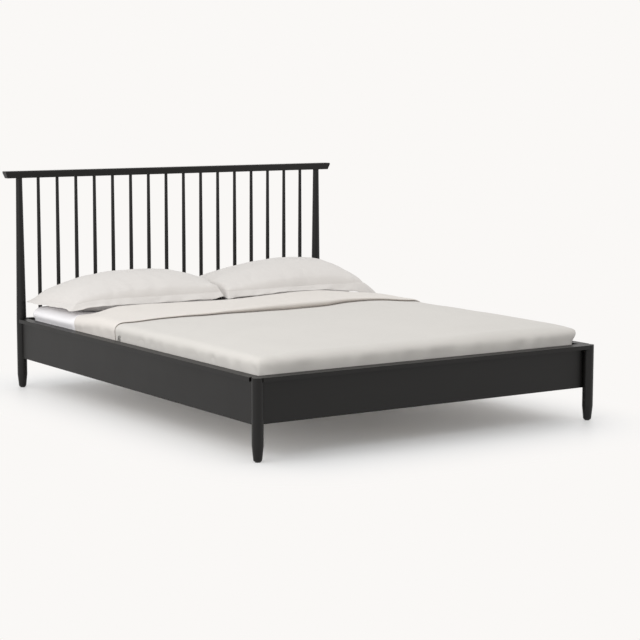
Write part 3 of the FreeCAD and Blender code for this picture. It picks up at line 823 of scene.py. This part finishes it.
def sheet_faces(sheet, across, along):
    faces = []
    for j in range(along - 1):
        for i in range(across - 1):
            faces.append((sheet[i, j], sheet[i + 1, j], sheet[i + 1, j + 1], sheet[i, j + 1]))
    return faces


def case_faces(top, under, across, along):
    """Faces of a case's upper sheet and, turned over, of its under sheet."""
    faces = sheet_faces(top, across, along)
    return faces + [face[::-1] for face in sheet_faces(under, across, along)]


def smoothed(points, sheets, across, along):
    """Each point moved to the mean of its neighbours on the same sheet."""
    result = list(points)
    for sheet in sheets:
        for j in range(along):
            for i in range(across):
                near = [(i - 1, j), (i + 1, j), (i, j - 1), (i, j + 1)]
                places = [points[sheet[pair]] for pair in near if pair in sheet]
                result[sheet[i, j]] = sum(places, Vector()) / len(places)
    return result


def blown_up(points, faces):
    """The points of a sewn case after cloth simulation under inner pressure."""
    mesh = bpy.data.meshes.new("case")
    mesh.from_pydata([tuple(point) for point in points], [], faces)
    case = bpy.data.objects.new("case", mesh)
    bpy.context.scene.collection.objects.link(case)
    cloth = case.modifiers.new("cloth", "CLOTH")
    cloth.settings.quality = 5
    cloth.settings.mass = 0.3
    cloth.settings.tension_stiffness = 15
    cloth.settings.compression_stiffness = 15
    cloth.settings.bending_stiffness = 0.3
    cloth.settings.use_pressure = True
    cloth.settings.uniform_pressure_force = 4.0
    cloth.settings.effector_weights.gravity = 0
    cloth.collision_settings.use_collision = False
    cloth.point_cache.frame_start = 1
    cloth.point_cache.frame_end = CASE_FRAMES
    for number in range(1, CASE_FRAMES + 1):
        bpy.context.scene.frame_set(number)
    view = case.evaluated_get(bpy.context.evaluated_depsgraph_get())
    blown = [vertex.co.copy() for vertex in view.data.vertices]
    bpy.context.scene.frame_set(1)
    bpy.data.objects.remove(case)
    bpy.data.meshes.remove(mesh)
    return blown


def case_wrinkles(seed):
    """The wrinkles of two sheets that are sewn round their edge and blown up.

    They are how far each upper point of the blown-up case stands off its smoothed form.
    """
    columns, rows, rim = case_grid()
    pairs = [(i, j) for j in range(len(rows)) for i in range(len(columns))]
    edge = set(rim)
    points = []
    top = {}
    under = {}
    height, length = CASE_WAVES
    for i, j in pairs:
        x = columns[i]
        y = rows[j]
        lift = 0 if (i, j) in edge else CASE_LOFT + height * ripple(x, y, length, seed)
        top[i, j] = len(points)
        points.append(Vector((x, y, lift)))
        under[i, j] = top[i, j]
        if (i, j) not in edge:
            under[i, j] = len(points)
            points.append(Vector((x, y, -lift)))
    blown = blown_up(points, case_faces(top, under, len(columns), len(rows)))
    smooth = blown
    for _ in range(WRINKLE_PASSES):
        smooth = smoothed(smooth, (top, under), len(columns), len(rows))
    return {pair: blown[top[pair]] - smooth[top[pair]] for pair in pairs}


class PillowForm:
    """Where a pillow's surface lies."""

    def __init__(self, shape):
        self.shape = shape
        self.hand = -1 if shape.side == "left" else 1
        low, high = corners_of("pillow_" + shape.side)
        self.rest = corners_of("mattress")[1].z
        outer = max(abs(low.x), abs(high.x)) - shape.inset
        front = low.y - FRONT_GAP + FRONT_BORDER
        back = high.y - BACK_GAP - BACK_BORDER
        self.centre = Vector(((outer + INNER_GAP) / 2, (front + back) / 2))
        self.reach = Vector(((outer - INNER_GAP) / 2, (back - front) / 2))

    def seam(self, u, v):
        """Height of the sewn edge."""
        across, along = SEAM_WAVES
        wander = SEAM_WANDER * noise.noise(
            Vector((u * across, v * along, self.shape.seed * SEAM_SEED_STEP)))
        outer = SEAM_FALL * max(u, 0) ** SEAM_FALL_POWER
        beside, before = EAR_LIFT_RAMPS
        lifted = EAR_LIFT * self.shape.ear * ease(u, *beside) * ease(-v, *before)
        return self.rest + SEAM_HEIGHT + wander - outer + lifted - SEAM_SLOPE * v

    def plan(self, u, v):
        """Where a point lies on the bed. The edges pull in between the corners."""
        x = self.centre.x + self.reach.x * u * (1 - SIDE_PULL * (1 - v * v))
        y = self.centre.y + self.reach.y * v * (1 - FRONT_PULL * (1 - u * u))
        blunt = BLUNT * abs(v) ** BLUNT_POWER * ease(-u, *INNER_RAMP)
        return self.hand * (x + blunt), y

    def dome(self, u, v):
        """Share of the full height: it slopes to the outer end and is blunt elsewhere."""
        shape = self.shape
        if u > shape.peak:
            outward = (u - shape.peak) / (1 - shape.peak)
            length = max(0.0, 1 - outward ** shape.outer_power) ** shape.outer_root
        else:
            inward = (shape.peak - u) / (1 + shape.peak)
            length = 1 - shape.inner_drop * inward ** shape.inner_power
            length *= max(0.0, 1 - inward ** INNER_END_POWER) ** 0.5
        if v > RIDGE_PLACE:
            aside = (v - RIDGE_PLACE) / (1 - RIDGE_PLACE)
        else:
            aside = (RIDGE_PLACE - v) / (1 + RIDGE_PLACE)
        return length * max(0.0, 1 - aside ** RIDGE_POWER) ** RIDGE_ROOT

    def creases(self, x, y, u, v):
        """Fine gathers that run in from the seam, and soft broad dents."""
        seed = self.shape.seed
        front = (1 + v) * self.reach.y
        side = (1 - abs(u)) * self.reach.x
        corner = 1 + INNER_CREASING * ease(-u, *INNER_CREASING_RAMP)
        corner += OUTER_CREASING * ease(u, *OUTER_CREASING_RAMP)
        gathers = math.exp(-front / GATHER_FADE) * corner * noise.noise(
            Vector((x / GATHER_SPACING, y / GATHER_LENGTH, seed)))
        gathers += math.exp(-side / SIDE_GATHER_FADE) * noise.noise(
            Vector((x / GATHER_LENGTH, y / GATHER_SPACING, seed)))
        drags = math.exp(-front / DRAG_FADE) * corner * noise.noise(
            Vector((x / DRAG_LENGTH, y / DRAG_SPACING, seed + DRAG_SEED)))
        dents = ripple(x, y, DENT_LENGTH, seed) + FINE_DENT * ripple(
            x, y, FINE_DENT_LENGTH, seed + FINE_DENT_SEED)
        return GATHER_HEIGHT * gathers + DRAG_HEIGHT * drags + DENT_HEIGHT * dents

    def edge_height(self, place, u, v):
        """Height of the flat border's free edge, which hangs a little and turns at corners."""
        shape = self.shape
        front = ease(-v, *EDGE_RAMP)
        outer = ease(u, *EDGE_RAMP)
        inner = ease(-u, *INNER_RAMP)
        height, length = EDGE_WAVES
        level = EDGE_LEVEL + height * ripple(place.x, place.y, length, shape.seed + EDGE_SEED)
        level += FRONT_EDGE * front * (1 - outer) + hump(place.x, BESIDE_BAND) * front
        level += OUTER_EDGE * outer * (1 - v)
        level -= OUTER_CORNER * outer * ease(-v, *OUTER_CORNER_RAMP)
        level += INNER_EDGE * inner * (1 - ease(abs(v), *EDGE_RAMP))
        level += (shape.curl - INNER_CORNER) * inner * front
        level -= shape.ear * front * EAR_FALL * sum(ease(u, *ramp) for ramp in EAR_FALL_RAMPS)
        return self.rest + level

    def border(self, place, u, v):
        """Upper points of the flat border from the seam to its free edge."""
        shape = self.shape
        out = Vector((math.copysign(ease(abs(u), *SIDE_RAMP), u) * self.hand,
                      math.copysign(ease(abs(v), *END_RAMP), v)))
        ear = shape.ear * ease(u, *EAR_SIDE_RAMP) * ease(-v, *EAR_FRONT_RAMP)
        wide = Vector(((OUTER_BORDER if u > 0 else INNER_BORDER) + ear,
                       FRONT_BORDER if v < 0 else BACK_BORDER))
        drop = place.z - self.edge_height(place, u, v)
        line = []
        for step in range(1, BORDER_STEPS + 1):
            share = step / BORDER_STEPS
            fold = noise.noise(
                Vector((place.x / WAVE_LENGTH, place.y / WAVE_LENGTH, shape.seed + share)))
            fold += noise.noise(
                Vector((place.x / SWAY_LENGTH, place.y / SWAY_LENGTH, shape.seed + SWAY_SEED)))
            wave = BORDER_WAVE * share * fold
            hang = drop * share ** (HANG_POWER + ear / EAR_HANG)
            line.append(Vector((place.x + out.x * wide.x * share,
                                place.y + out.y * (wide.y * share + wave),
                                place.z - hang + WAVE_LIFT * wave)))
        groove = place.lerp(line[0], GROOVE_PLACE)
        groove -= Vector((out.x, out.y, 1)) * GROOVE
        return [groove] + line


def add_pillow(shape, cloth):
    """A soft pillow in a case with a flat border that hangs down all round."""
    form = PillowForm(shape)
    columns, rows, rim = case_grid()
    edge = set(rim)
    points = []
    top = {}
    under = {}

    def spread(i, j):
        return 2 * i / (len(columns) - 1) - 1, 2 * j / (len(rows) - 1) - 1

    for (i, j), wrinkle in case_wrinkles(shape.seed).items():
        u, v = spread(i, j)
        x, y = form.plan(u, v)
        level = form.seam(u, v)
        full = form.dome(u, v)
        inside = min(1.0, FULL_RISE * full)
        rise = (shape.ridge - level) * full + form.creases(x, y, u, v) * inside
        top[i, j] = len(points)
        points.append(Vector((x, y, level + rise)) + wrinkle * WRINKLE_SHARE * inside)
        sink = (level - form.rest - SHEET_GAP) * min(1.0, FULL_SINK * full)
        if (i, j) in edge:
            sink = 0
        under[i, j] = len(points)
        points.append(Vector((x, y, level - max(sink, EDGE_THICKNESS))))
    faces = case_faces(top, under, len(columns), len(rows))

    chains = []
    for i, j in rim:
        line = form.border(points[top[i, j]], *spread(i, j))
        start = len(points)
        points += line
        points += [place - Vector((0, 0, BORDER_THICKNESS)) for place in reversed(line)]
        chains.append([top[i, j]] + list(range(start, len(points))) + [under[i, j]])
    for index, chain in enumerate(chains):
        following = chains[(index + 1) % len(chains)]
        for step in range(len(chain) - 1):
            faces.append((chain[step], following[step], following[step + 1], chain[step + 1]))
    piece = mesh_piece("cased_pillow_" + shape.side, points, faces, cloth,
                       "pillow_" + shape.side)
    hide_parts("pillow_" + shape.side)


# ------------------------------------------------------- floor and lights

BACKGROUND = (0.956, 0.939, 0.922)
FLOOR_TONE = (0.838, 0.848, 0.860)
FLOOR_REACH = 40
FLOOR_FADE = 0.62
FADE_INSET = (0.30, 0.06)
HAZE = 0.075
HAZE_COLOUR = (0.93, 0.93, 0.93)
SKY = 0.84
WARM_WHITE = (1.0, 0.995, 0.985)


def haze_over(shader):
    """The paint with a faint haze that only the camera sees, so its shadow stays soft."""
    haze = shader.add("ShaderNodeEmission")
    haze.inputs["Color"].default_value = (*HAZE_COLOUR, 1)
    camera_ray = shader.add("ShaderNodeLightPath").outputs["Is Camera Ray"]
    shader.link(shader.remap(camera_ray, low=0.0, high=HAZE), haze.inputs["Strength"])
    lifted = shader.add("ShaderNodeAddShader")
    shader.link(shader.surface.outputs[0], lifted.inputs[0])
    shader.link(haze.outputs[0], lifted.inputs[1])
    return lifted.outputs[0]


def distance_past(shader, half_x, half_y):
    """How far a point of the floor lies outside a rectangle about the origin."""
    folded = shader.add("ShaderNodeVectorMath", operation="ABSOLUTE")
    shader.link(shader.place, folded.inputs[0])
    past = shader.add("ShaderNodeVectorMath", operation="SUBTRACT")
    shader.link(folded.outputs[0], past.inputs[0])
    past.inputs[1].default_value = (half_x, half_y, 0)
    outside = shader.add("ShaderNodeVectorMath", operation="MAXIMUM")
    shader.link(past.outputs[0], outside.inputs[0])
    away = shader.add("ShaderNodeVectorMath", operation="LENGTH")
    shader.link(outside.outputs[0], away.inputs[0])
    return away.outputs["Value"]


def floor_paint():
    """Pale paint that keeps the shadow and melts into the background round the bed."""
    shader = Shader("floor_paint")
    mottle = shader.ramp(shader.noise(2.0, detail=3.0), shade(FLOOR_TONE, 0.995), FLOOR_TONE)
    shader.link(mottle, shader.surface.inputs["Base Color"])
    shader.set(Roughness=0.45, Specular_IOR_Level=0.3)
    backdrop = shader.add("ShaderNodeEmission")
    backdrop.inputs["Color"].default_value = (*BACKGROUND, 1)
    inset_x, inset_y = FADE_INSET
    away = distance_past(shader, CAD_BOX[1][0] - inset_x, CAD_BOX[1][1] - inset_y)
    fade = shader.add("ShaderNodeMapRange", interpolation_type="SMOOTHSTEP")
    fade.inputs["From Max"].default_value = FLOOR_FADE
    shader.link(away, fade.inputs["Value"])
    mix = shader.add("ShaderNodeMixShader")
    shader.link(fade.outputs["Result"], mix.inputs[0])
    shader.link(haze_over(shader), mix.inputs[1])
    shader.link(backdrop.outputs[0], mix.inputs[2])
    shader.link(mix.outputs[0], shader.nodes["Material Output"].inputs["Surface"])
    return shader.material


def add_floor():
    mesh = bpy.data.meshes.new("floor")
    mesh.from_pydata([(x * FLOOR_REACH, y * FLOOR_REACH, 0)
                      for x, y in ((-1, -1), (1, -1), (1, 1), (-1, 1))], [], [(0, 1, 2, 3)])
    floor = bpy.data.objects.new("floor", mesh)
    bpy.context.scene.collection.objects.link(floor)
    mesh.materials.append(floor_paint())


def add_world():
    """Soft light from all round. Rays that see the background see its plain pale colour."""
    world = bpy.data.worlds.new("studio")
    bpy.context.scene.world = world
    world.use_nodes = True
    nodes = world.node_tree.nodes
    links = world.node_tree.links
    light = nodes["Background"]
    light.inputs["Color"].default_value = (*WARM_WHITE, 1)
    light.inputs["Strength"].default_value = SKY
    seen = nodes.new("ShaderNodeBackground")
    seen.inputs["Color"].default_value = (*BACKGROUND, 1)
    path = nodes.new("ShaderNodeLightPath")
    shows = path.outputs["Is Camera Ray"]
    for ray in ("Is Glossy Ray", "Is Transmission Ray"):
        either = nodes.new("ShaderNodeMath")
        either.operation = "MAXIMUM"
        links.new(shows, either.inputs[0])
        links.new(path.outputs[ray], either.inputs[1])
        shows = either.outputs[0]
    mix = nodes.new("ShaderNodeMixShader")
    links.new(shows, mix.inputs[0])
    links.new(light.outputs[0], mix.inputs[1])
    links.new(seen.outputs[0], mix.inputs[2])
    links.new(mix.outputs[0], nodes["World Output"].inputs["Surface"])


def add_lamp(name, place, target, size, power):
    data = bpy.data.lights.new(name, "AREA")
    data.shape = "SQUARE"
    data.size = size
    data.energy = power
    data.color = WARM_WHITE
    lamp = bpy.data.objects.new(name, data)
    bpy.context.scene.collection.objects.link(lamp)
    lamp.location = place
    aim = Vector(target) - Vector(place)
    lamp.rotation_euler = aim.to_track_quat("-Z", "Y").to_euler()


add_camera()
add_world()
add_floor()
add_lamp("key_left", (-5.2, -1.4, 2.7), (0, 0, 0.3), size=4.0, power=110)
add_lamp("top_soft", (0.2, 0.4, 4.4), (0, 0, 0), size=4.0, power=25)
dress_frame()
add_mattress(woven("sheet_cotton", SHEET_WHITE, thread=0.5 * MM, crease=0.05))
add_duvet(woven("duvet_cotton", QUILT_WHITE, thread=0.6 * MM, crease=0.08),
          woven("duvet_reverse", REVERSE_WHITE, thread=0.6 * MM, crease=0.08))
pillow_cotton = woven("pillow_cotton", PILLOW_WHITE, thread=0.6 * MM, crease=0.08)
for pillow in PILLOWS:
    add_pillow(pillow, pillow_cotton)

scene = bpy.context.scene
scene.view_settings.view_transform = "Standard"
